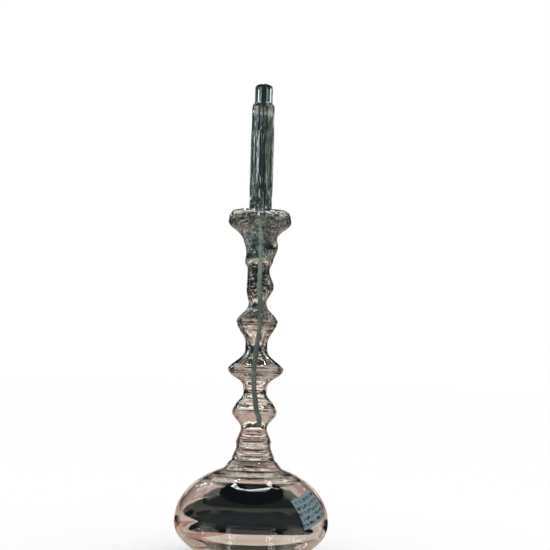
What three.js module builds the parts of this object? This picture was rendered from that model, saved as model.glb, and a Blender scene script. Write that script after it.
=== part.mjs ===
// Oil lamp of blown glass in the shape of a candlestick with its candle.
// Millimetres, +Z up. The origin is the centre of the flat foot, and the front looks along -Y.
import * as THREE from 'three';

// Reservoir: a flattened onion, half an ellipse above its widest ring and half of another below
const BULB_R = 60.8;
const BULB_WIDEST_Z = 31.2;
const BULB_RISE = 44.3;
const FOOT_R = 32;
const FLOOR = 4;

// Walls and clearances
const WALL = 2;
const STEM_WALL = 1.8;
const PAN_WALL = 3.2;
const SEAL_GAP = 0.3;
const FIT = 0.35;

// Neck: a flare that ends in a soft ring under the first waist
const NECK_FOOT_R = 23.6;
const NECK_FLARE_H = 20.8;
const NECK_RING_R = 13.6;
const NECK_TOP_H = 12;
const NECK_TOP_R = 10.8;

// Knops: height up to the rim, rim radius, height from the rim to the waist above it, waist radius
const LOWER_KNOP_RISE = 11.6;
const LOWER_KNOP_R = 17.6;
const LOWER_KNOP_FALL = 17.2;
const LOWER_WAIST_R = 9.3;

const MIDDLE_KNOP_RISE = 16.4;
const MIDDLE_KNOP_R = 22;
const MIDDLE_KNOP_FALL = 20.4;
const MIDDLE_WAIST_R = 8.8;

const UPPER_KNOP_RISE = 18;
const UPPER_KNOP_R = 16.4;
const UPPER_KNOP_FALL = 15.1;
const UPPER_WAIST_R = 7.2;

// Upper stem: one soft bulge
const BULGE_RISE = 12.5;
const BULGE_R = 10.8;
const BULGE_FALL = 14.4;
const STEM_TOP_R = 8.8;

// Drip pan: shoulder, cup, flare and rolled rim
const CUP_FOOT_H = 6.6;
const CUP_FOOT_R = 11.2;
const CUP_H = 16;
const CUP_R = 13.4;
const PAN_FLARE_H = 15.8;
const PAN_R = 25.2;
const PAN_RIM_H = 8.8;
const PAN_MOUTH_R = 20.5;
const SEAT_BORE_R = 7.6;

// Candle: a tube with three tiers of hollow flutes, drawn in at the top
const CANDLE_R = 9.3;
const CANDLE_L = 127.2;
const CANDLE_BORE_R = 6.2;
const CANDLE_TOP_R = 8;
const CANDLE_SHOULDER_H = 6.4;
const FLUTES = 12;
const FLUTE_DEPTH = 1.1;
const TIER_ENDS = [3.4, 23, 70, 97];
const TIER_TURN = 0.5;

// Wick holder: a sleeve with a round shoulder, and a stub that goes down into the candle
const HOLDER_R = 7.2;
const HOLDER_H = 15.7;
const HOLDER_ROUND = 3.2;
const HOLDER_STUB_R = 5.2;
const HOLDER_STUB_H = 16;

// Wick: a limp cord, its middle line from the top down
const WICK_R = 2.1;
const WICK_FIT = 0.3;
const WICK_SIDES = 8;
const WICK_STEPS = 26;
const WICK_LINE = [
  [0, 0, 380], [0, 0, 366], [0, 0, 348], [0, 0, 330], [0.2, 0, 310], [0.3, 0.1, 290], [0.8, 0.2, 272],
  [2.1, 0.2, 254], [1.7, 0.1, 236], [1.2, 0, 221], [1.9, 0, 206], [2.7, 0.2, 192], [1.7, 0.3, 179],
  [0.1, 0.3, 166], [-1.3, 0.2, 152], [-1.1, 0, 141], [-0.4, 0, 131], [1.6, 0, 119], [3.7, 0, 112],
  [4.3, 0, 106],
];

// Paper label, stuck on the right of the reservoir
const LABEL_W = 32;
const LABEL_H = 24;
const LABEL_THICK = 0.35;
const LABEL_AROUND = 53;
const LABEL_Z = 46;
const LABEL_TILT = 15;

const SIDES = 32;
const CANDLE_SIDES = 4 * FLUTES;
const OUTER_STEPS = 5;
const BORE_STEPS = 3;
const BULB_STEPS = 9;

// Glass, cotton and paper
function glass(color) {
  return new THREE.MeshStandardMaterial({
    color, roughness: 0.05, metalness: 0, transparent: true, opacity: 0.5,
  });
}

const CLEAR = '#a9b3ac';
const ROSY = '#b9a49c';
const SMOKY = '#5b6b67';
const WICK_GREY = '#6e807b';
const LABEL_GREY = '#728886';

// The outside, as stretches that stand on each other. Each ends at its own radius, and is eased from the
// narrow end to the wide one: a knop by a cosine wave, a flare by a power and a rim by part of an ellipse.
const EASES = {
  knop: (t, sharp) => (0.5 - 0.5 * Math.cos(Math.PI * t)) ** sharp,
  flare: (t, sharp) => t ** sharp,
  rim: (t) => Math.sqrt(1 - (1 - t) ** 2),
};

const lowerHalf = BULB_WIDEST_Z / Math.sqrt(1 - (FOOT_R / BULB_R) ** 2);
const neckFootZ = BULB_WIDEST_Z + BULB_RISE * Math.sqrt(1 - (NECK_FOOT_R / BULB_R) ** 2);

const STRETCHES = [
  { height: NECK_FLARE_H, radius: NECK_RING_R, ease: 'flare', sharp: 1.9 },
  { height: NECK_TOP_H, radius: NECK_TOP_R, ease: 'knop', sharp: 1 },
  { height: LOWER_KNOP_RISE, radius: LOWER_KNOP_R, ease: 'knop', sharp: 1 },
  { height: LOWER_KNOP_FALL, radius: LOWER_WAIST_R, ease: 'knop', sharp: 1 },
  { height: MIDDLE_KNOP_RISE, radius: MIDDLE_KNOP_R, ease: 'knop', sharp: 1.8 },
  { height: MIDDLE_KNOP_FALL, radius: MIDDLE_WAIST_R, ease: 'knop', sharp: 2 },
  { height: UPPER_KNOP_RISE, radius: UPPER_KNOP_R, ease: 'knop', sharp: 1.1 },
  { height: UPPER_KNOP_FALL, radius: UPPER_WAIST_R, ease: 'knop', sharp: 1.2 },
  { height: BULGE_RISE, radius: BULGE_R, ease: 'knop', sharp: 0.9 },
  { height: BULGE_FALL, radius: STEM_TOP_R, ease: 'knop', sharp: 1.2 },
  { height: CUP_FOOT_H, radius: CUP_FOOT_R, ease: 'knop', sharp: 1 },
  { height: CUP_H, radius: CUP_R, ease: 'knop', sharp: 1 },
  { height: PAN_FLARE_H, radius: PAN_R, ease: 'knop', sharp: 1.3 },
  { height: PAN_RIM_H, radius: PAN_MOUTH_R, ease: 'rim' },
];

// Each stretch gets its lower end from the one below it
let low = { z: neckFootZ, radius: NECK_FOOT_R };
for (const stretch of STRETCHES) {
  stretch.from = low;
  stretch.to = { z: low.z + stretch.height, radius: stretch.radius };
  low = stretch.to;
}
const panRim = STRETCHES.at(-1);

// Radius of the outside at a height
function outsideAt(z) {
  if (z <= neckFootZ) {
    const half = z < BULB_WIDEST_Z ? lowerHalf : BULB_RISE;
    return BULB_R * Math.sqrt(1 - ((Math.max(z, 0) - BULB_WIDEST_Z) / half) ** 2);
  }
  const { from, to, ease, sharp } = STRETCHES.find((s) => z <= s.to.z) ?? panRim;
  const up = Math.min((z - from.z) / (to.z - from.z), 1);
  const grow = EASES[ease](to.radius > from.radius ? up : 1 - up, sharp);
  return Math.min(from.radius, to.radius) + Math.abs(to.radius - from.radius) * grow;
}

// Radius of a hollow that keeps a wall's thickness from the outside in every direction
function hollowAt(z, wall) {
  const probes = 8;
  let radius = Infinity;
  for (let i = -probes; i <= probes; i += 1) {
    const away = wall * i / probes;
    radius = Math.min(radius, outsideAt(z + away) - Math.sqrt(wall ** 2 - away ** 2));
  }
  return radius;
}

// A solid turned about +Z from a closed outline of [radius, height] pairs
function turned(outline, sides) {
  const points = [...outline, outline[0]].map(([radius, z]) => new THREE.Vector2(radius, z));
  return new THREE.LatheGeometry(points, sides).rotateX(Math.PI / 2);
}

function steps(from, to, count) {
  return Array.from({ length: count + 1 }, (_, i) => from + (to - from) * i / count);
}

// Heights that cut each of the stretches into steps
function cuts(stretches, count) {
  return stretches.flatMap((s) => steps(s.from.z, s.to.z, count).slice(1));
}

// A hollow section of the stem: two stretches, parted from its neighbours by half a seal at each end
function section(first) {
  const parts = STRETCHES.slice(first, first + 2);
  const bottom = parts[0].from.z + SEAL_GAP / 2;
  const top = parts[1].to.z - SEAL_GAP / 2;
  const outer = [bottom, ...cuts(parts, OUTER_STEPS).slice(0, -1), top];
  const inner = [bottom, ...cuts(parts, BORE_STEPS).slice(0, -1), top].reverse();
  return turned([...outer.map((z) => [outsideAt(z), z]), ...inner.map((z) => [stemHollow(z), z])], SIDES);
}

function stemHollow(z) {
  return hollowAt(z, STEM_WALL);
}

// The reservoir, open at the top, where the neck is sealed on
function reservoir() {
  const top = neckFootZ - SEAL_GAP / 2;
  const topAngle = Math.asin((top - BULB_WIDEST_Z) / BULB_RISE);
  const footAngle = -Math.asin(BULB_WIDEST_Z / lowerHalf);
  const heightAt = (angle) => BULB_WIDEST_Z + Math.sin(angle) * (angle < 0 ? lowerHalf : BULB_RISE);
  const heights = [
    ...steps(footAngle, 0, BULB_STEPS / 2).slice(0, -1),
    ...steps(0, topAngle, BULB_STEPS),
  ].map(heightAt);
  const outer = heights.map((z) => [outsideAt(z), Math.max(z, 0)]);
  const inner = heights.filter((z) => z > FLOOR + 1).reverse().map((z) => [hollowAt(z, WALL), z]);
  return turned([[0, 0], ...outer, ...inner, [hollowAt(FLOOR, WALL), FLOOR], [0, FLOOR]], SIDES);
}

// The pan and its cup: a socket for the candle over a ledge, and a seat bore under it
const PAN_PARTS = STRETCHES.slice(10);
const seatZ = PAN_PARTS[0].to.z;
const socketR = CANDLE_R + FIT;

function panHollow(z) {
  if (z < seatZ) {
    return Math.min(SEAT_BORE_R, stemHollow(z));
  }
  return Math.max(socketR, hollowAt(z, PAN_WALL));
}

function dripPan() {
  const bottom = PAN_PARTS[0].from.z + SEAL_GAP / 2;
  const outer = [bottom, ...cuts(PAN_PARTS, OUTER_STEPS)].map((z) => [outsideAt(z), z]);
  const dish = cuts(PAN_PARTS.slice(1), BORE_STEPS).reverse().map((z) => [panHollow(z), z]);
  const seat = [[socketR, seatZ], [SEAT_BORE_R, seatZ], [panHollow(bottom), bottom]];
  return turned([...outer, ...dish, ...seat], SIDES);
}

// The candle stands on the ledge. Its flutes are scallops that are as long as their tier, with round ends,
// and each tier is turned by half a flute from the one above it.
const candleFootZ = seatZ + SEAL_GAP;
const candleTopZ = candleFootZ + CANDLE_L;

function fluteDepth(angle, z) {
  const down = candleTopZ - z;
  const tier = TIER_ENDS.findIndex((end, i) => i > 0 && down > TIER_ENDS[i - 1] && down < end);
  if (tier < 1) {
    return 0;
  }
  const [start, end] = [TIER_ENDS[tier - 1], TIER_ENDS[tier]];
  const along = 2 * (down - start) / (end - start) - 1;
  const across = (1 + Math.cos(FLUTES * angle + 2 * Math.PI * TIER_TURN * tier)) / 2;
  return FLUTE_DEPTH * across * (1 - along ** 6);
}

function candle() {
  const neckR = HOLDER_STUB_R + FIT;
  const shoulderZ = candleTopZ - CANDLE_SHOULDER_H;
  const arc = steps(0, Math.PI / 2, 3).map((a) => [
    CANDLE_TOP_R + (CANDLE_R - CANDLE_TOP_R) * Math.cos(a),
    shoulderZ + CANDLE_SHOULDER_H * Math.sin(a),
  ]);
  const rings = TIER_ENDS.slice(1).flatMap((end, i) => {
    const start = TIER_ENDS[i];
    return [0.12, 0.5, 0.88, 1].map((share) => candleTopZ - start - (end - start) * share);
  }).filter((z) => z < shoulderZ);
  const outer = [candleFootZ, ...rings.reverse()].map((z) => [CANDLE_R, z]);
  const inner = [
    [neckR, candleTopZ], [neckR, shoulderZ], [CANDLE_BORE_R, shoulderZ - 1], [CANDLE_BORE_R, candleFootZ],
  ];
  const geometry = turned([...outer, ...arc, ...inner], CANDLE_SIDES);
  const place = geometry.attributes.position;
  for (let i = 0; i < place.count; i += 1) {
    const [x, y, z] = [place.getX(i), place.getY(i), place.getZ(i)];
    const radius = Math.hypot(x, y);
    if (radius > CANDLE_BORE_R + FIT) {
      const share = 1 - fluteDepth(Math.atan2(y, x), z) / radius;
      place.setXY(i, x * share, y * share);
    }
  }
  return geometry;
}

// The wick holder sits on the candle's top, and its stub fills the candle's drawn-in mouth
function wickHolder() {
  const foot = candleTopZ + SEAL_GAP;
  const top = foot + HOLDER_H;
  const boreR = WICK_R + WICK_FIT;
  const round = steps(0, Math.PI / 2, 4).map((a) => [
    HOLDER_R - HOLDER_ROUND * (1 - Math.cos(a)),
    top - HOLDER_ROUND * (1 - Math.sin(a)),
  ]);
  const stubFoot = foot - HOLDER_STUB_H;
  return turned([
    [HOLDER_STUB_R, stubFoot], [HOLDER_STUB_R, foot], [HOLDER_R, foot], ...round,
    [boreR, top], [boreR, stubFoot],
  ], SIDES);
}

function wick() {
  const line = new THREE.CatmullRomCurve3(WICK_LINE.map((p) => new THREE.Vector3(...p)));
  const round = new THREE.Shape(steps(0, 2 * Math.PI, WICK_SIDES).slice(1).map(
    (a) => new THREE.Vector2(WICK_R * Math.cos(a), WICK_R * Math.sin(a)),
  ));
  return new THREE.ExtrudeGeometry(round, {
    steps: WICK_STEPS, extrudePath: line, bevelEnabled: false,
  });
}

// The label is a thin sheet bent onto the reservoir, turned clockwise as seen from outside
function label() {
  const sheet = new THREE.BoxGeometry(LABEL_W, LABEL_H, LABEL_THICK, 8, 6, 1);
  const place = sheet.attributes.position;
  const tilt = THREE.MathUtils.degToRad(LABEL_TILT);
  const around = THREE.MathUtils.degToRad(LABEL_AROUND);
  const midAngle = Math.asin((LABEL_Z - BULB_WIDEST_Z) / BULB_RISE);
  for (let i = 0; i < place.count; i += 1) {
    const [u, v, out] = [place.getX(i), place.getY(i), place.getZ(i)];
    const side = u * Math.cos(tilt) - v * Math.sin(tilt);
    const up = u * Math.sin(tilt) + v * Math.cos(tilt);
    const angle = midAngle + up / Math.hypot(BULB_R * Math.sin(midAngle), BULB_RISE * Math.cos(midAngle));
    const ringR = BULB_R * Math.cos(angle);
    const turn = around + side / ringR;
    const half = angle < 0 ? lowerHalf : BULB_RISE;
    const normal = new THREE.Vector2(half * Math.cos(angle), BULB_R * Math.sin(angle)).normalize();
    const lift = SEAL_GAP + LABEL_THICK / 2 + out;
    const radius = ringR + lift * normal.x;
    const z = BULB_WIDEST_Z + half * Math.sin(angle) + lift * normal.y;
    place.setXYZ(i, radius * Math.sin(turn), -radius * Math.cos(turn), z);
  }
  return sheet;
}

const lamp = new THREE.Group();

function add(name, geometry, material) {
  const mesh = new THREE.Mesh(geometry, material);
  mesh.name = name;
  lamp.add(mesh);
}

add('reservoir', reservoir(), glass(ROSY));
add('neck', section(0), glass(ROSY));
add('lower_knop', section(2), glass(CLEAR));
add('middle_knop', section(4), glass(CLEAR));
add('upper_knop', section(6), glass(CLEAR));
add('upper_stem', section(8), glass(CLEAR));
add('drip_pan', dripPan(), glass(CLEAR));
add('candle_tube', candle(), glass(SMOKY));
add('wick_holder', wickHolder(), glass(SMOKY));
add('wick', wick(), new THREE.MeshStandardMaterial({ color: WICK_GREY, roughness: 0.9, metalness: 0 }));
add('price_label', label(), new THREE.MeshStandardMaterial({
  color: LABEL_GREY, roughness: 0.7, metalness: 0,
}));

export default lamp;
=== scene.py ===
import math

import bpy
import numpy as np
from mathutils import Euler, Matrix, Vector


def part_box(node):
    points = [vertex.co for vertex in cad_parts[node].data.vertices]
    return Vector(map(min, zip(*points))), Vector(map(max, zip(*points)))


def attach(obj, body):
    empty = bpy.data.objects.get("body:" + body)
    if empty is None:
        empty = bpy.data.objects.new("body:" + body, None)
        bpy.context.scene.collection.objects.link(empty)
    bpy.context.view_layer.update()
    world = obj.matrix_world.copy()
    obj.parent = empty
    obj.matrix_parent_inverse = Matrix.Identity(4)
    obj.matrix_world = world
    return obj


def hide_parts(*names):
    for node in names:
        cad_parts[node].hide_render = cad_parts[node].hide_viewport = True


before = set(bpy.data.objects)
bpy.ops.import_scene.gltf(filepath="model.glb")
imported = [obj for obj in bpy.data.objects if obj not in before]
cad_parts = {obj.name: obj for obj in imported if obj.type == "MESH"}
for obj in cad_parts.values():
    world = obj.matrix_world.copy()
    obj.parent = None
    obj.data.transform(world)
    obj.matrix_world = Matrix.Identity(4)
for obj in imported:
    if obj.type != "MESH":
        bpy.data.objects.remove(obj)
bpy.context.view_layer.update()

# Camera: a short telephoto, level with the middle knop and turned up a little, that leans by the degree or
# two that the lamp leans in the picture. The picture's edge cuts off the foot of the lamp.
PICTURE, FOCAL_PIXELS, SENSOR_MM = 550, 1200, 36
EYE = (0.0, -0.96, 0.1624)
PITCH, YAW, ROLL = 3.82, -0.79, 1.67

camera = bpy.data.objects.new("camera", bpy.data.cameras.new("camera"))
camera.data.sensor_width = SENSOR_MM
camera.data.lens = SENSOR_MM * FOCAL_PIXELS / PICTURE
camera.data.clip_start = 0.01
camera.location = EYE
aim = Euler((math.radians(90 + PITCH), 0, math.radians(YAW))).to_matrix()
lean = Euler((0, 0, math.radians(ROLL))).to_matrix()
camera.rotation_euler = (aim @ lean).to_euler()
bpy.context.collection.objects.link(camera)
bpy.context.scene.camera = camera

# Wick: one limp round cord of braided cotton, 4 mm thick. It is held in the sleeve at the candle's top and
# hangs down the bore of the stem, where it leans on the waists, to its cut end in the lowest knop.
MM = 0.001
WICK_R = 2.1
WICK_LINE = [
    (0, 0, 380), (0, 0, 366), (0, 0, 348), (0, 0, 330), (0.2, 0, 310), (0.3, 0.1, 290), (0.8, 0.2, 272),
    (2.1, 0.2, 254), (1.7, 0.1, 236), (1.2, 0, 221), (1.9, 0, 206), (2.7, 0.2, 192), (1.7, 0.3, 179),
    (0.1, 0.3, 166), (-1.3, 0.2, 152), (-1.1, 0, 141), (-0.4, 0, 131), (1.6, 0, 119), (3.7, 0, 112),
    (4.3, 0, 106),
]
WICK_RINGS, WICK_SIDES, WICK_END_ROUND = 700, 32, 1.2
BRAID_STRANDS, BRAID_PITCH, BRAID_DEPTH = 8, 9.0, 0.16
# fuzz and stains for each millimetre; real fuzz is too fine to show, so it is drawn coarser
FUZZ_PER_MM, FUZZ_DEPTH, STAIN_PER_MM = 1.4, 0.2, 0.42
# heights between which the darker lower stretch, partly oil soaking in and partly painted shade, ends, and
# the painted shade of the stretch in the candle begins
SOAKED_AND_SHADED_Z, SHADED_IN_CANDLE_Z = (205, 230), (262, 285)


def linear(code):
    """An sRGB hex colour as linear RGBA: the sRGB curve undone for each channel, and opaque."""
    srgb = np.array([int(code[i : i + 2], 16) for i in (1, 3, 5)]) / 255
    rgb = np.where(srgb <= 0.04045, srgb / 12.92, ((srgb + 0.055) / 1.055) ** 2.4)
    return (*rgb.tolist(), 1.0)


def add_node(tree, kind, settings=None, **inputs):
    """A node of that kind with its settings, and its inputs set to values or linked from sockets."""
    node = tree.nodes.new(kind)
    for key, value in (settings or {}).items():
        setattr(node, key, value)
    for key, value in inputs.items():
        socket = node.inputs[int(key[1:]) if key[1:].isdigit() else key.replace("_", " ")]
        if isinstance(value, bpy.types.NodeSocket):
            tree.links.new(value, socket)
        else:
            socket.default_value = value
    return node


def new_material(name):
    """An empty material and its node tree."""
    made = bpy.data.materials.new(name)
    made.use_nodes = True
    made.node_tree.nodes.clear()
    return made, made.node_tree


def smooth_line(points, count):
    """Catmull-Rom through the points: each span is the cubic whose end slopes are half the step between
    the neighbours on either side."""
    p = np.array(points, float)
    p = np.vstack([2 * p[0] - p[1], p, 2 * p[-1] - p[-2]])
    at = np.linspace(0, len(p) - 3 - 1e-9, count)
    i, t = at.astype(int), (at % 1)[:, None]
    a, b, c, d = p[i], p[i + 1], p[i + 2], p[i + 3]
    return 0.5 * (2 * b + (c - a) * t + (2 * a - 5 * b + 4 * c - d) * t**2 + (3 * b - a - 3 * c + d) * t**3)


def skin(name, rings, loop):
    """A closed mesh over rings of points, in millimetres. Rings turn anticlockwise and follow each other
    upwards outside. With loop the last ring joins the first; without, the end rings close to a pole."""
    m, n = rings.shape[:2]
    index = np.arange(m * n).reshape(m, n)
    upper = np.roll(index, -1, 0) if loop else index[1:]
    lower = index if loop else index[:-1]
    quads = np.stack([lower, np.roll(lower, -1, 1), np.roll(upper, -1, 1), upper], -1).reshape(-1, 4)
    points = rings.reshape(-1, 3) * MM
    faces = quads.tolist()
    if not loop:
        points = np.vstack([points, rings[0].mean(0) * MM, rings[-1].mean(0) * MM])
        first, last = index[0], index[-1]
        faces += [[b, a, m * n] for a, b in zip(first.tolist(), np.roll(first, -1).tolist())]
        faces += [[a, b, m * n + 1] for a, b in zip(last.tolist(), np.roll(last, -1).tolist())]
    mesh = bpy.data.meshes.new(name)
    mesh.from_pydata(points.tolist(), [], faces)
    mesh.polygons.foreach_set("use_smooth", np.ones(len(mesh.polygons), bool))
    mesh.update()
    piece = bpy.data.objects.new(name, mesh)
    bpy.context.collection.objects.link(piece)
    return piece


def braided_cotton():
    """Cotton: dull grey-green, the painted shade of white cotton, with stains and fuzz; darker in the lower
    stem, partly from oil soaking in and partly painted shade, and near black with painted shade in the
    candle."""
    made, tree = new_material("braided_cotton")
    place = add_node(tree, "ShaderNodeTexCoord").outputs["Object"]
    fuzz = add_node(tree, "ShaderNodeTexNoise", Vector=place, Scale=FUZZ_PER_MM / MM, Detail=3.0)
    stain = add_node(tree, "ShaderNodeTexNoise", Vector=place, Scale=STAIN_PER_MM / MM, Detail=3.0)
    # the grey-green is painted shade on white cotton; the stains vary it from dark to pale at random
    colour = add_node(
        tree, "ShaderNodeMixRGB", Fac=stain.outputs["Fac"],
        Color1=linear("#5f7d76"), Color2=linear("#d2e2da"),
    )
    height = add_node(tree, "ShaderNodeSeparateXYZ", Vector=place).outputs["Z"]
    # downwards the cotton darkens: partly oil soaking in, partly painted shade where the stem's glass shades
    # it
    low, high = (z * MM for z in SOAKED_AND_SHADED_Z)
    soaked_and_shaded = add_node(tree, "ShaderNodeMapRange", i0=height, i1=low, i2=high, i3=0.9, i4=0.0)
    colour = add_node(
        tree, "ShaderNodeMixRGB", Fac=soaked_and_shaded.outputs[0], Color1=colour.outputs[0], Color2=linear("#68766f"),
    )
    # upwards the cotton turns near black: painted shade where the candle's glass darkens it
    low, high = (z * MM for z in SHADED_IN_CANDLE_Z)
    shaded_in_candle = add_node(tree, "ShaderNodeMapRange", i0=height, i1=low, i2=high, i3=0.0, i4=1.0)
    colour = add_node(
        tree, "ShaderNodeMixRGB", Fac=shaded_in_candle.outputs[0], Color1=colour.outputs[0], Color2=linear("#20302f"),
    )
    bump = add_node(
        tree, "ShaderNodeBump", Strength=0.6, Distance=FUZZ_DEPTH * MM, Height=fuzz.outputs["Fac"],
    )
    shader = add_node(
        tree, "ShaderNodeBsdfPrincipled", Base_Color=colour.outputs[0], Roughness=0.85,
        Normal=bump.outputs[0],
    )
    shader.inputs["Sheen Weight"].default_value = 0.2
    add_node(tree, "ShaderNodeOutputMaterial", Surface=shader.outputs[0])
    return made


def make_wick():
    """Rings across the middle line. The radius dips between the strands, as the product of two cosine
    waves that wind left and right, and falls to nothing in a quarter circle at each end."""
    line = smooth_line(WICK_LINE, WICK_RINGS)
    ahead = np.gradient(line, axis=0)
    ahead /= np.linalg.norm(ahead, axis=1)[:, None]
    side = np.cross(ahead, (0, 1, 0))
    side /= np.linalg.norm(side, axis=1)[:, None]
    back = np.cross(ahead, side)
    along = np.concatenate([[0], np.cumsum(np.linalg.norm(np.diff(line, axis=0), axis=1))])
    angle = np.linspace(0, 2 * np.pi, WICK_SIDES, endpoint=False)
    turn = 2 * np.pi * along[:, None] / BRAID_PITCH
    weave = np.cos(BRAID_STRANDS / 2 * (angle + turn)) * np.cos(BRAID_STRANDS / 2 * (angle - turn))
    radius = WICK_R - BRAID_DEPTH * (1 - np.abs(weave))
    end = np.clip(np.minimum(along, along[-1] - along)[:, None] / WICK_END_ROUND, 0, 1)
    radius = radius * np.sqrt(end * (2 - end))
    ring = side[:, None] * np.cos(angle)[:, None] + back[:, None] * np.sin(angle)[:, None]
    rings = line[:, None] + ring * radius[..., None]
    return skin("braided_wick", rings, loop=False), line


wick, wick_line = make_wick()
wick.data.materials.append(braided_cotton())
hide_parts("wick")
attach(wick, "holder")

# Blown body: the reservoir, neck, three knops, upper stem and drip pan, blown one by one and sealed end to
# end with a flame, so that they are one hollow glass with no joints to see.
BULB_R, BULB_WIDEST_Z, BULB_RISE, FOOT_R, FLOOR = 60.8, 31.2, 44.3, 32.0, 4.0
NECK_FOOT_R = 23.6
# heights and wall thickness: the breath stretched the knops thin and left the waists and disc's edge thick
WALLS = [
    (120, 2.0), (133, 2.7), (142, 2.4), (146, 3.4), (151, 3.4), (153, 1.8), (170, 4.1), (186, 2.0),
    (190, 1.3), (203, 2.6), (208, 2.0),
]
PAN_WALL = 3.2
SEAT_BORE_R, SEAT_TAPER, SOCKET_R = 7.6, 3.0, 9.65
# height and end radius of each stretch above the reservoir, how it is eased, and how sharply
STRETCHES = [
    (20.8, 13.6, "flare", 1.9), (12.0, 10.8, "knop", 1.0),
    (11.6, 17.6, "knop", 1.0), (17.2, 9.3, "knop", 1.0),
    (16.4, 22.0, "knop", 1.8), (20.4, 8.8, "knop", 2.0),
    (18.0, 16.4, "knop", 1.1), (15.1, 7.2, "knop", 1.2),
    (12.5, 10.8, "knop", 0.9), (14.4, 8.8, "knop", 1.2),
    (6.6, 11.2, "knop", 1.0), (16.0, 13.4, "knop", 1.0), (15.8, 25.2, "knop", 1.3), (8.8, 20.5, "rim", 1.0),
]
# the mesh: faces round the axis, steps along the outline, points that it is measured at, and pole radius
AROUND, OUTER_STEP, INNER_STEP, OUTLINE_POINTS, WALL_PROBES, POLE_R = 96, 0.52, 1.5, 6000, 41, 0.02

lower_half = BULB_WIDEST_Z / math.sqrt(1 - (FOOT_R / BULB_R) ** 2)
neck_foot_z = BULB_WIDEST_Z + BULB_RISE * math.sqrt(1 - (NECK_FOOT_R / BULB_R) ** 2)
stations_z = neck_foot_z + np.concatenate([[0], np.cumsum([s[0] for s in STRETCHES])])
stations_r = np.array([NECK_FOOT_R] + [s[1] for s in STRETCHES])
cup_z, seat_z, top_z = stations_z[10], stations_z[11], stations_z[-1]


def outside_at(z):
    """Radius of the outside at each height: two half ellipses for the reservoir, then the stretches, each
    eased from its narrow end to its wide one by a cosine wave, a power or part of an ellipse."""
    z = np.clip(np.asarray(z, float), 0, top_z)
    half = np.where(z < BULB_WIDEST_Z, lower_half, BULB_RISE)
    radius = BULB_R * np.sqrt(np.clip(1 - ((z - BULB_WIDEST_Z) / half) ** 2, 0, 1))
    for i, (height, _, ease, sharp) in enumerate(STRETCHES):
        share = np.clip((z - stations_z[i]) / height, 0, 1)
        low, high = stations_r[i], stations_r[i + 1]
        share = share if high > low else 1 - share
        grow = {
            "knop": (0.5 - 0.5 * np.cos(np.pi * share)) ** sharp,
            "flare": share**sharp,
            "rim": np.sqrt(1 - (1 - share) ** 2),
        }[ease]
        radius = np.where(z > stations_z[i], min(low, high) + abs(high - low) * grow, radius)
    return radius


def hump(z, middle, half):
    """1 at the middle, easing to 0 at half away."""
    return 0.5 + 0.5 * np.cos(np.pi * np.clip((z - middle) / half, -1, 1))


def hollow_at(z, wall):
    """Radius of a hollow that keeps the wall's thickness from the outside in every direction: the least
    reach inwards of a ball as large as the wall, as its middle passes along the outside."""
    away = np.asarray(wall)[..., None] * np.linspace(-1, 1, WALL_PROBES)
    reach = np.sqrt(np.maximum(np.asarray(wall)[..., None] ** 2 - away**2, 0))
    return (outside_at(np.asarray(z)[..., None] + away) - reach).min(-1)


def inside_at(z):
    """Radius of the inside: the outside less the wall, then the tapered seat bore, socket and dish."""
    radius = hollow_at(z, np.interp(z, *zip(*WALLS)))
    taper = (SOCKET_R - SEAT_BORE_R) * np.clip((z - seat_z) / SEAT_TAPER + 1, 0, 1)
    bore = np.minimum(SEAT_BORE_R, radius) + taper
    seat = np.where(z < seat_z, bore, np.maximum(SOCKET_R, hollow_at(z, PAN_WALL)))
    return np.where(z > cup_z, seat, radius)


def evenly(outline, step):
    """The outline again, as points that lie a step apart along it."""
    far = np.concatenate([[0], np.cumsum(np.linalg.norm(np.diff(outline, axis=0), axis=1))])
    at = np.linspace(0, far[-1], int(far[-1] / step))
    return np.stack([np.interp(at, far, outline[:, k]) for k in (0, 1)], axis=1)


def turned_rings(outline, around, added=None):
    """Rings about the axis through each [radius, height], whose radius grows by added(angle, radius, z)."""
    angle = np.linspace(0, 2 * np.pi, around, endpoint=False)
    radius, z = outline[:, :1], outline[:, 1:]
    radius = radius + (added(angle, radius, z) if added else 0 * angle)
    return np.stack([radius * np.cos(angle), radius * np.sin(angle), z + 0 * angle], axis=-1)


# rings that the jacks left in the soft glass: height, depth (out is positive) and half width
PRESSED_RINGS = [
    (64.5, -0.35, 1.1), (68.5, -0.45, 0.9), (79.2, -1.0, 1.5), (88.2, -0.45, 1.1), (93.4, 0.55, 1.3),
    (97.5, -0.25, 0.9), (101.0, 0.2, 0.9), (117.8, 0.35, 0.8), (124.6, 0.3, 0.9), (127.6, -0.3, 0.8),
    (142.0, -0.5, 0.8), (145.6, 0.3, 0.7), (148.6, -0.4, 0.6), (151.4, 0.35, 0.7), (182.6, -0.4, 0.9),
    (186.6, -0.5, 0.7), (188.6, 0.35, 0.7), (261.8, -0.4, 0.9), (271.4, -0.3, 0.6),
]
# fine tool marks: depth and pitch, then middle and half height of the stretch that has them; what is drawn
# in, what leans to the right and the wavering of the stem: depth, then middle and half height
TOOL_MARKS = [(0.05, 3.2, 222, 14), (0.10, 2.9, 88, 22)]
DRAWN_IN = [(2.4, 8, 16), (0.5, 130, 6), (0.5, 102, 6)]
LEANING = [(1.7, 217, 12), (2.0, 247, 12)]
WAVERING, WAVER_PITCH, WAVER_STRETCH = 0.12, 17, (150, 110)


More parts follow.
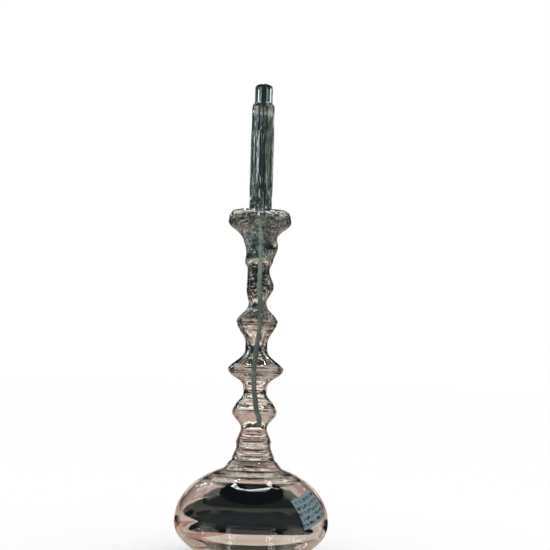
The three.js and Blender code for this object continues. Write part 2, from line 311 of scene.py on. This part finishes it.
def make_body():
    """The outline goes up the outside from the foot's centre, over the rim and down inside to the floor."""
    z = np.linspace(0, top_z, OUTLINE_POINTS)
    outer = np.stack([outside_at(z), z], axis=1)
    inner = z[z > FLOOR][::-1]
    inner = np.stack([inside_at(inner), inner], axis=1)
    outer = evenly(np.vstack([[POLE_R, 0], outer]), OUTER_STEP)
    inner = evenly(np.vstack([inner, [POLE_R, FLOOR]]), INNER_STEP)
    count = len(outer)

    def by_hand(angle, radius, z):
        """What is added to the radius: sine waves for tool marks, bell curves for pressed rings and humps
        for what is drawn in, all outside only, then humps that lean and an oval that winds upwards, which
        the inside follows up to the cup."""
        marks = sum(deep * np.sin(2 * np.pi * z / pitch) * hump(z, *at) for deep, pitch, *at in TOOL_MARKS)
        marks = marks - sum(deep * hump(z, *at) for deep, *at in DRAWN_IN)
        for height, depth, half in PRESSED_RINGS:
            marks = marks + depth * np.exp(-(((z - height) / half) ** 2))
        marks[count:] = 0
        lopsided = sum(far * hump(z, *at) for far, *at in LEANING) * np.cos(angle)
        wavering = WAVERING * np.sin(2 * angle + z / WAVER_PITCH) * hump(z, *WAVER_STRETCH)
        moved = marks + lopsided + wavering
        moved[count:] *= np.where(z[count:] > cup_z, 0, 1)
        return moved

    return skin("blown_body", turned_rings(np.vstack([outer, inner]), AROUND, by_hand), loop=False)


# waves in the glass for each metre along X, Y and Z: rings round a turned piece, streaks down a drawn one
RINGS, STREAKS = (30.0, 30.0, 260.0), (330.0, 330.0, 40.0)
SLOW_WAVES_PER_M, GRAIN_PER_M = 70.0, 400.0
# heights over which the glass that the tools worked begins, and the grainy glass
WORKED_Z, GRAINY_Z = (60, 78), (162, 180)
# how much the glass below those heights shows its waves, and its grain
UNWORKED, SMOOTH = 0.06, 0.18


def fire_polished_glass(name, tint, density, waves, grain, flow):
    """Soda glass, blown and polished by the flame: clear, faintly tinted where it is thick, with slow waves
    that the breath and the tools left in its surface, and a grain where it was worked longest. The real
    grain is too fine to show, so this one is 2.5 mm coarse. Waves and grain are depths in millimetres."""
    made, tree = new_material(name)
    place = add_node(tree, "ShaderNodeTexCoord").outputs["Object"]
    slow = add_node(tree, "ShaderNodeTexNoise", Vector=place, Scale=SLOW_WAVES_PER_M, Detail=1.0)
    flat = add_node(tree, "ShaderNodeMapping", Vector=place, Scale=flow)
    rings = add_node(tree, "ShaderNodeTexNoise", Vector=flat.outputs[0], Scale=1.0, Detail=2.0)
    both = add_node(
        tree, "ShaderNodeMath", {"operation": "ADD"}, i0=slow.outputs["Fac"], i1=rings.outputs["Fac"],
    )
    height = add_node(tree, "ShaderNodeSeparateXYZ", Vector=place).outputs["Z"]
    low, high = (z * MM for z in WORKED_Z)
    worked = add_node(tree, "ShaderNodeMapRange", i0=height, i1=low, i2=high, i3=UNWORKED, i4=1.0)
    wavy = add_node(
        tree, "ShaderNodeBump", Strength=worked.outputs[0], Distance=waves * MM, Height=both.outputs[0],
    )
    grains = add_node(tree, "ShaderNodeTexNoise", Vector=place, Scale=GRAIN_PER_M, Detail=0.0)
    low, high = (z * MM for z in GRAINY_Z)
    grainy = add_node(tree, "ShaderNodeMapRange", i0=height, i1=low, i2=high, i3=SMOOTH, i4=1.0)
    grainy = add_node(
        tree, "ShaderNodeMath", {"operation": "MULTIPLY"}, i0=grainy.outputs[0], i1=worked.outputs[0],
    )
    bump = add_node(
        tree, "ShaderNodeBump", Strength=grainy.outputs[0], Distance=grain * MM, Height=grains.outputs[0],
        Normal=wavy.outputs[0],
    )
    shader = add_node(
        tree, "ShaderNodeBsdfPrincipled", Base_Color=(1, 1, 1, 1), Roughness=0.0, IOR=1.5,
        Normal=bump.outputs[0],
    )
    shader.inputs["Transmission Weight"].default_value = 1.0
    body = add_node(tree, "ShaderNodeVolumeAbsorption", Color=linear(tint), Density=density)
    add_node(tree, "ShaderNodeOutputMaterial", Surface=shader.outputs[0], Volume=body.outputs[0])
    return made


blown_body = make_body()
blown_body.data.materials.append(fire_polished_glass("blown_glass", "#b0aca8", 18.0, 0.07, 0.50, RINGS))
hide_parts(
    "reservoir", "neck", "lower_knop", "middle_knop", "upper_knop", "upper_stem", "drip_pan"
)
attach(blown_body, "lamp_base")

# Candle: a hollow glass candle that stands in the socket of the pan. Three tiers of scalloped flutes were
# pressed into it while it was soft, each tier half a flute round from the one above.
CANDLE_R, CANDLE_BORE_R, CANDLE_TOP_R, CANDLE_SHOULDER_H = 9.3, 6.2, 8.0, 6.4
CANDLE_MOUTH_R, CANDLE_CHAMFER, CANDLE_THROAT = 5.55, 1.6, 2
# flutes: how many, how deep, how sharp at their edges, how blunt at their ends, where the tiers end below
# the top, and the least radius that counts as outside
FLUTES, FLUTE_DEPTH, FLUTE_EDGE, FLUTE_END = 12, 0.9, 0.6, 6
TIER_ENDS, FLUTED_R = (3.4, 23.0, 70.0, 97.0), 7.7
CANDLE_STEP, SIDES_PER_FLUTE = 0.55, 16
QUARTER = np.linspace(0, np.pi / 2, 12)
candle_foot, candle_top = (corner[2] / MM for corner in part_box("candle_tube"))


def flute_depth(angle, z):
    """Depth of the scallops: across each flute a power of its squared cosine, cut short towards its ends by
    an arch that is flat in the middle and round at the ends."""
    down = candle_top - z
    depth = 0 * (angle + z)
    for tier, (start, end) in enumerate(zip(TIER_ENDS, TIER_ENDS[1:])):
        along = np.clip(2 * (down - start) / (end - start) - 1, -1, 1)
        phase = FLUTES * angle + np.pi * tier
        across = np.abs(np.sin(phase / 2))
        arch = np.clip(1 - along**FLUTE_END, 0, 1) ** 0.5
        depth = depth + FLUTE_DEPTH * np.clip(arch - across**2, 0, 1) ** FLUTE_EDGE
    return depth


def make_candle():
    """The outline goes up the outside, over the shoulder, a quarter of an ellipse, and down the bore."""
    shoulder = candle_top - CANDLE_SHOULDER_H
    outer = np.vstack([
        [[CANDLE_R - CANDLE_CHAMFER, candle_foot], [CANDLE_R, candle_foot + CANDLE_CHAMFER]],
        np.stack([
            CANDLE_TOP_R + (CANDLE_R - CANDLE_TOP_R) * np.cos(QUARTER),
            shoulder + CANDLE_SHOULDER_H * np.sin(QUARTER),
        ], axis=1),
    ])
    inner = np.array([
        [CANDLE_MOUTH_R, candle_top], [CANDLE_MOUTH_R, shoulder], [CANDLE_BORE_R, shoulder - CANDLE_THROAT],
        [CANDLE_BORE_R, candle_foot], [CANDLE_R - CANDLE_CHAMFER, candle_foot],
    ])
    rings = turned_rings(
        np.vstack([evenly(outer, CANDLE_STEP), evenly(inner, INNER_STEP)]), SIDES_PER_FLUTE * FLUTES,
        lambda angle, radius, z: np.where(radius > FLUTED_R, -flute_depth(angle, z), 0),
    )
    return skin("fluted_candle", rings, loop=True)


candle = make_candle()
candle.data.materials.append(fire_polished_glass("pressed_glass", "#8fa59c", 58.0, 0.90, 0.08, STREAKS))
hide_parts("candle_tube")
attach(candle, "candle")

# Wick holder: a thick sleeve cut from drawn glass tube, with its top rounded in the flame. Its stub sits
# loose in the candle's mouth, and its bore grips the wick.
HOLDER_R, HOLDER_ROUND, HOLDER_STUB_R, HOLDER_BORE_R = 7.2, 3.2, 5.2, 2.4
HOLDER_GAP, HOLDER_EDGE, HOLDER_STEP = 0.3, 0.5, 0.4
holder_foot = candle_top + HOLDER_GAP
stub_foot, holder_top = (corner[2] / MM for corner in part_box("wick_holder"))


def make_holder():
    """The outline goes up the stub and the sleeve, round the top, a quarter circle, and down the bore."""
    top = np.stack([
        HOLDER_R - HOLDER_ROUND * (1 - np.cos(QUARTER)), holder_top - HOLDER_ROUND * (1 - np.sin(QUARTER))
    ], axis=1)
    foot = [
        [HOLDER_STUB_R, stub_foot], [HOLDER_STUB_R, holder_foot], [HOLDER_R - HOLDER_EDGE, holder_foot],
        [HOLDER_R, holder_foot + HOLDER_EDGE],
    ]
    bore = [[HOLDER_BORE_R, holder_top], [HOLDER_BORE_R, stub_foot], [HOLDER_STUB_R, stub_foot]]
    outline = evenly(np.vstack([foot, top, bore]), HOLDER_STEP)
    return skin("wick_sleeve", turned_rings(outline, AROUND), loop=True)


holder = make_holder()
holder.data.materials.append(fire_polished_glass("sleeve_glass", "#7f9d9c", 40.0, 0.06, 0.02, STREAKS))
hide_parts("wick_holder")
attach(holder, "holder")

# Price label: a small cut sheet of uncoated paper with a gummed back, stuck askew on the right of the
# reservoir's shoulder.
LABEL_W, LABEL_H, LABEL_THICK, LABEL_LIFT = 32.0, 24.0, 0.25, 0.3
LABEL_AROUND, LABEL_Z, LABEL_TILT = math.radians(53), 46.0, math.radians(15)
LABEL_GRID = (41, 31)
# rows of strokes: their pitch and half height; strokes and fibres for each millimetre
LABEL_ROW, LABEL_ROW_HALF = 4.4, 4.4 / 3.3
STROKES_PER_MM, FIBRES_PER_MM = (0.5, 0.3, 1.0), 3.0


def make_label():
    """A flat sheet bent onto the reservoir: across it turns about the axis, and up it follows the upper
    ellipse by its own length."""
    mid = math.asin((LABEL_Z - BULB_WIDEST_Z) / BULB_RISE)
    u, v = np.meshgrid(*(np.linspace(-0.5, 0.5, count) for count in LABEL_GRID))
    side = LABEL_W * u * math.cos(LABEL_TILT) - LABEL_H * v * math.sin(LABEL_TILT)
    up = LABEL_W * u * math.sin(LABEL_TILT) + LABEL_H * v * math.cos(LABEL_TILT)
    angle = mid + up / math.hypot(BULB_R * math.sin(mid), BULB_RISE * math.cos(mid))
    half = np.where(angle < 0, lower_half, BULB_RISE)
    ring = BULB_R * np.cos(angle)
    turn = LABEL_AROUND + side / ring
    normal = np.stack([half * np.cos(angle), BULB_R * np.sin(angle)], axis=-1)
    normal /= np.linalg.norm(normal, axis=-1)[..., None]
    radius = ring + LABEL_LIFT * normal[..., 0]
    z = BULB_WIDEST_Z + half * np.sin(angle) + LABEL_LIFT * normal[..., 1]
    points = np.stack([radius * np.sin(turn), -radius * np.cos(turn), z], axis=-1)
    m, n = u.shape
    index = np.arange(m * n).reshape(m, n)
    quads = np.stack([index[:-1, :-1], index[:-1, 1:], index[1:, 1:], index[1:, :-1]], -1).reshape(-1, 4)
    mesh = bpy.data.meshes.new("price_label_paper")
    mesh.from_pydata((points.reshape(-1, 3) * MM).tolist(), [], quads.tolist())
    loops = np.zeros(len(mesh.loops), int)
    mesh.loops.foreach_get("vertex_index", loops)
    flat = np.stack([u.ravel() * LABEL_W, v.ravel() * LABEL_H], axis=1)
    mesh.uv_layers.new(name="print").data.foreach_set("uv", flat[loops].astype(np.float32).ravel())
    mesh.polygons.foreach_set("use_smooth", np.ones(len(mesh.polygons), bool))
    piece = bpy.data.objects.new("price_label_paper", mesh)
    bpy.context.collection.objects.link(piece)
    wall = piece.modifiers.new("thickness", "SOLIDIFY")
    wall.thickness = LABEL_THICK * MM
    wall.offset = 1
    return piece


def label_paper():
    """Wood-free paper, uncoated: matt and white, painted grey-green with the shade of the shop's light, with
    fine fibres and five rows of short strokes that spell nothing."""
    made, tree = new_material("label_paper")
    place = add_node(tree, "ShaderNodeTexCoord").outputs["UV"]
    fibre = add_node(tree, "ShaderNodeTexNoise", Vector=place, Scale=FIBRES_PER_MM, Detail=4.0)
    # white paper painted grey-green: painted shade, with its fibres paler and darker at random
    paper = add_node(
        tree, "ShaderNodeMixRGB", Fac=fibre.outputs["Fac"],
        Color1=linear("#647b80"), Color2=linear("#7d9397"),
    )
    up = add_node(tree, "ShaderNodeSeparateXYZ", Vector=place).outputs["Y"]
    saw = add_node(tree, "ShaderNodeMath", {"operation": "PINGPONG"}, i0=up, i1=LABEL_ROW / 2)
    row = add_node(
        tree, "ShaderNodeMath", {"operation": "LESS_THAN"}, i0=saw.outputs[0], i1=LABEL_ROW_HALF,
    )
    upright = add_node(tree, "ShaderNodeMapping", Vector=place, Scale=STROKES_PER_MM)
    noise = add_node(tree, "ShaderNodeTexNoise", Vector=upright.outputs[0], Scale=1.0, Detail=1.0)
    # strokes lie where the noise is over its middle, with a narrow soft edge
    stroke = add_node(
        tree, "ShaderNodeMapRange", i0=noise.outputs["Fac"], i1=0.49, i2=0.51, i3=0.0, i4=1.0,
    )
    ink = add_node(
        tree, "ShaderNodeMath", {"operation": "MULTIPLY"}, i0=row.outputs[0], i1=stroke.outputs[0],
    )
    colour = add_node(
        tree, "ShaderNodeMixRGB", Fac=ink.outputs[0], Color1=paper.outputs[0], Color2=linear("#1f2a36"),
    )
    shader = add_node(tree, "ShaderNodeBsdfPrincipled", Base_Color=colour.outputs[0], Roughness=0.7)
    add_node(tree, "ShaderNodeOutputMaterial", Surface=shader.outputs[0])
    return made


label = make_label()
label.data.materials.append(label_paper())
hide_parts("price_label")
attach(label, "lamp_base")

# Studio: a white table and background under soft lamps. Round the lamp stands a tent of plain cards, which
# only the glass sees, because clear glass takes all its light and dark from what stands round it.
FILL, BACKDROP = 0.992, 1.0

world = bpy.data.worlds.new("studio")
world.use_nodes = True
bpy.context.scene.world = world
tree = world.node_tree
tree.nodes.clear()
path = add_node(tree, "ShaderNodeLightPath")
seen = path.outputs["Is Camera Ray"]
for kind in ("Is Glossy Ray", "Is Transmission Ray"):
    either = add_node(tree, "ShaderNodeMath", {"operation": "MAXIMUM"}, i0=seen, i1=path.outputs[kind])
    seen = either.outputs[0]
fill = add_node(tree, "ShaderNodeBackground", Color=(1, 1, 1, 1), Strength=FILL)
white = add_node(tree, "ShaderNodeBackground", Color=(1, 1, 1, 1), Strength=BACKDROP)
mixed = add_node(tree, "ShaderNodeMixShader", i0=seen, i1=fill.outputs[0], i2=white.outputs[0])
add_node(tree, "ShaderNodeOutputWorld", Surface=mixed.outputs[0])


def stage_band(name, start, end, material, sweep=(0, 360), around=96):
    """Part of a cone about the lamp's axis between two [radius, height] rings, in metres, over a sweep of
    degrees."""
    angle = np.radians(np.linspace(*sweep, around + 1))
    turn = np.stack([np.sin(angle), -np.cos(angle)], axis=1)
    rings = [np.hstack([turn * radius, np.full((around + 1, 1), z)]) for radius, z in (start, end)]
    index = np.arange(around)
    quads = np.stack([index, index + 1, index + around + 2, index + around + 1], axis=1)
    mesh = bpy.data.meshes.new(name)
    mesh.from_pydata(np.vstack(rings).tolist(), [], quads.tolist())
    mesh.materials.append(material)
    piece = bpy.data.objects.new(name, mesh)
    bpy.context.collection.objects.link(piece)
    return piece


# white laminate, whose grain is too fine to show
floor_paint, tree = new_material("white_table")
shader = add_node(tree, "ShaderNodeBsdfDiffuse", Color=linear("#ffffff"))
add_node(tree, "ShaderNodeOutputMaterial", Surface=shader.outputs[0])
HOLE_R, FLOOR_R = 0.0001, 6.0
stage_band("floor", (HOLE_R, 0), (FLOOR_R, 0), floor_paint)


def shining(name, code, strength):
    """Card that is lit evenly from behind, so that it gives out its own colour."""
    made, tree = new_material(name)
    shader = add_node(tree, "ShaderNodeEmission", Color=linear(code), Strength=strength)
    add_node(tree, "ShaderNodeOutputMaterial", Surface=shader.outputs[0])
    return made


def for_glass_only(piece):
    """Lets a stage object show in reflections and refractions, and nowhere else."""
    piece.visible_camera = piece.visible_diffuse = piece.visible_shadow = False


def card(name, start, end, code, strength=1.0, sweep=(0, 360)):
    """A shining band that only the glass sees."""
    for_glass_only(stage_band(name, start, end, shining(name, code, strength), sweep))


# heights of the layers on the table, the tent's radius and the heights of its wall and peak, in metres
LEVEL, UNDER_R, TENT_R, WALL_TOP, TENT_TOP, PEAK_R = 0.0004, 0.088, 0.6, 1.0, 1.25, 0.001
card("under_card", (HOLE_R, LEVEL), (UNDER_R, LEVEL), "#c2b6a0")
card("table_card", (UNDER_R, LEVEL), (TENT_R, LEVEL), "#d0c0b4")
card("ceiling_card", (TENT_R, WALL_TOP), (PEAK_R, TENT_TOP), "#14191a")

# heights on the wall behind the lamp and their colours
WALL_BANDS = [
    (0.0000, "#a88c86"), (0.0400, "#9c857e"), (0.0600, "#b49c94"), (0.0750, "#9c847c"),
    (0.1000, "#bca49a"), (0.1012, "#5a5046"), (0.1030, "#5a5046"), (0.1042, "#e2d0c0"),
    (0.1320, "#f0ead8"), (0.1490, "#f4efe2"), (0.1510, "#1c201e"), (0.1870, "#1c201e"),
    (0.1890, "#f2e8cc"), (0.2000, "#f2e8cc"), (0.2020, "#0f1514"), (0.4900, "#0f1514"),
    (0.4950, "#384846"), (0.5600, "#384846"), (0.5900, "#c8ccbc"), (1.0000, "#c8ccbc"),
]
# where the wall's front gives way to its bands, and where the dark of their sides starts, begins and ends
BEHIND_Y, SIDES_X, DARK_FROM_Z, DARK_TO_Z = (0.00, 0.10), (0.24, 0.30), (0.066, 0.070), (0.200, 0.206)
SPOTS_PER_M, SPOT_R, SPOTS_FROM_Z = 9.0, (0.10, 0.11), (0.206, 0.210)
WALL_GLOW, SPOT_GLOW = 1.3, 5.0


def painted_wall():
    """Painted board, dark grey before the lamp. Behind it are bands by height, whose paler ones end dark at
    the sides, and above them small pale spots, one at a random place in each cell of a 110 mm grid."""
    made, tree = new_material("painted_wall")
    place = add_node(tree, "ShaderNodeTexCoord").outputs["Object"]
    axes = add_node(tree, "ShaderNodeSeparateXYZ", Vector=place)
    side, depth, height = (axes.outputs[name] for name in "XYZ")
    bands = add_node(tree, "ShaderNodeValToRGB", Fac=height)
    ramp = bands.color_ramp
    for z, code in WALL_BANDS[1:-1]:
        ramp.elements.new(z).color = linear(code)
    ramp.elements[0].color, ramp.elements[-1].color = linear(WALL_BANDS[0][1]), linear(WALL_BANDS[-1][1])
    away = add_node(tree, "ShaderNodeMath", {"operation": "ABSOLUTE"}, i0=side).outputs[0]
    sides, above, below, behind, high = (
        add_node(tree, "ShaderNodeMapRange", i0=way, i1=start, i2=end, i3=before, i4=1.0 - before)
        for way, (start, end), before in (
            (away, SIDES_X, 0.0), (height, DARK_FROM_Z, 0.0), (height, DARK_TO_Z, 1.0),
            (depth, BEHIND_Y, 0.0), (height, SPOTS_FROM_Z, 0.0),
        )
    )
    spots = add_node(tree, "ShaderNodeTexVoronoi", Vector=place, Scale=SPOTS_PER_M)
    spot = add_node(
        tree, "ShaderNodeMapRange", i0=spots.outputs["Distance"], i1=SPOT_R[0], i2=SPOT_R[1], i3=1.0, i4=0.0,
    )
    masks = []
    for mask, *others in ((sides, above, below), (spot, high, behind)):
        for other in others:
            mask = add_node(
                tree, "ShaderNodeMath", {"operation": "MULTIPLY"}, i0=mask.outputs[0], i1=other.outputs[0],
            )
        masks.append(mask.outputs[0])
    bands = add_node(
        tree, "ShaderNodeMixRGB", Fac=masks[0], Color1=bands.outputs[0], Color2=linear("#0f1514"),
    )
    colour = add_node(
        tree, "ShaderNodeMixRGB", Fac=behind.outputs[0], Color1=linear("#505656"), Color2=bands.outputs[0],
    )
    base = add_node(tree, "ShaderNodeEmission", Color=colour.outputs[0], Strength=WALL_GLOW)
    pale = add_node(tree, "ShaderNodeEmission", Color=linear("#dce8ee"), Strength=SPOT_GLOW)
    mixed = add_node(tree, "ShaderNodeMixShader", i0=masks[1], i1=base.outputs[0], i2=pale.outputs[0])
    add_node(tree, "ShaderNodeOutputMaterial", Surface=mixed.outputs[0])
    return made


for_glass_only(stage_band("wall", (TENT_R, 0), (TENT_R, WALL_TOP), painted_wall()))


def flag(name, points, code, strength=1.0):
    """A flat card that only the glass sees, from the points of its edge."""
    mesh = bpy.data.meshes.new(name)
    mesh.from_pydata(points.tolist(), [], [list(range(len(points)))])
    mesh.materials.append(shining(name, code, strength))
    piece = bpy.data.objects.new(name, mesh)
    bpy.context.collection.objects.link(piece)
    for_glass_only(piece)


# dark shapes on the table that point at the lamp: distance from the axis and half width. The last distance
# is that of their upright ends before the wall: place across and height. None stands at the front.
FLAGS, FLAG_TONE = 8, "#0e1215"
FLAG_SHAPE = np.array([
    (0.132, 0.0), (0.140, 0.016), (0.167, 0.042), (0.215, 0.062), (0.275, 0.090), (0.360, 0.115),
    (0.437, 0.110), (0.520, 0.090), (0.576, 0.060),
])
FLAG_END = np.array([(-0.085, 0.0), (0.085, 0.0), (0.060, 0.020), (-0.060, 0.020)])
for i in range(1, FLAGS):
    along = np.concatenate([FLAG_SHAPE[:, 0], FLAG_SHAPE[:0:-1, 0]])
    across = np.concatenate([FLAG_SHAPE[:, 1], -FLAG_SHAPE[:0:-1, 1]])
    turn = np.radians(360 / FLAGS * i)
    outwards = np.array([[np.sin(turn), -np.cos(turn)]])
    sideways = outwards[:, ::-1] * (-1, 1)
    flat = along[:, None] * outwards + across[:, None] * sideways
    flag(f"table_flag_{i}", np.hstack([flat, np.full((len(flat), 1), 2 * LEVEL)]), FLAG_TONE)
    upright = FLAG_SHAPE[-1, 0] * outwards + FLAG_END[:, :1] * sideways
    flag(f"wall_flag_{i}", np.hstack([upright, FLAG_END[:, 1:]]), FLAG_TONE)

# round patches on the table: centre, radius and colour
PATCHES = {
    "clay_patch": (-0.085, 0.140, 0.060, "#ab7a6a"),
    "shade_patch": (0.0, 0.0095, 0.0455, "#1a1a18"),
}
PATCH_SIDES = 40
ring = np.linspace(0, 2 * np.pi, PATCH_SIDES, endpoint=False)
for name, (x, y, radius, code) in PATCHES.items():
    edge = [x + radius * np.cos(ring), y + radius * np.sin(ring), 0 * ring + 3 * LEVEL]
    flag(name, np.stack(edge, axis=1), code)

# upright strips on the wall: sweep angles from the front by way of the right, heights, colour and strength
STRIP_R = 0.59
STRIPS = [
    (214, 216, 0.36, 0.62, "#e4eef4", 6.0), (222, 224, 0.36, 0.62, "#b8ccd4", 5.0),
    (227, 229, 0.36, 0.62, "#90a4aa", 4.5), (235, 238, 0.36, 0.49, "#90a4aa", 4.5),
    (98, 100, 0.36, 0.62, "#7e7c62", 6.0), (104, 106, 0.36, 0.62, "#a8a68c", 5.0),
    (109, 111, 0.36, 0.62, "#7e7c62", 6.0), (119.4, 120.6, 0.36, 0.49, "#eeeedd", 6.0),
    (153, 155, 0.49, 0.62, "#eef4f4", 6.0),
]
for i, (start, end, low, high, code, strength) in enumerate(STRIPS):
    card(f"strip_{i}", (STRIP_R, low), (STRIP_R, high), code, strength, (start, end))

# ceiling lamps behind the lamp: bright dashes on two circles, each two thirds of its step long
DASHES, DASH_CIRCLES, DASH_W, DASH_Y, DASH_Z, DASH_GLOW = 60, (0.250, 0.284), 0.01, 0.29, 0.98, 45.0
for i in range(DASHES):
    for radius in DASH_CIRCLES:
        dash = radius + np.array([0, 0, DASH_W, DASH_W])
        turn = np.radians(360 / DASHES * (i + np.array([0, 2, 2, 0]) / 3))
        corners = [dash * np.sin(turn), DASH_Y - dash * np.cos(turn), 0 * turn + DASH_Z]
        flag(f"dash_{radius:.2f}_{i}", np.stack(corners, axis=1), "#ffffff", DASH_GLOW)


def soft_lamp(name, place, target, size, watts):
    """A rectangular softbox that faces its target."""
    light = bpy.data.lights.new(name, "AREA")
    light.shape = "RECTANGLE"
    light.size, light.size_y = size
    light.energy = watts
    lamp = bpy.data.objects.new(name, light)
    lamp.location = place
    lamp.rotation_euler = (Vector(place) - Vector(target)).to_track_quat("Z", "Y").to_euler()
    lamp.visible_glossy = lamp.visible_transmission = False
    bpy.context.collection.objects.link(lamp)
    return lamp


LAMP_MIDDLE, CANDLE_FOOT = (0, 0, 0.2), (0, 0, 0.25)
soft_lamp("top_softbox", (0.2, -0.3, 1.3), LAMP_MIDDLE, (1.2, 1.2), 0.15)
soft_lamp("left_softbox", (-0.5, -0.45, 0.5), LAMP_MIDDLE, (0.12, 0.5), 0.06)
soft_lamp("right_softbox", (0.52, -0.2, 0.45), LAMP_MIDDLE, (0.1, 0.5), 0.05)

# a lamp's light doesn't pass glass in this renderer, so the wick has one that the glass doesn't shade
wick_lamp = soft_lamp("wick_softbox", (-0.3, -0.9, 0.5), CANDLE_FOOT, (0.5, 0.5), 4.6)
wick_only = bpy.data.collections.new("wick_only")
wick_only.objects.link(wick)
wick_lamp.light_linking.receiver_collection = wick_only
wick_lamp.light_linking.blocker_collection = wick_only

bpy.context.scene.view_settings.view_transform = "Standard"
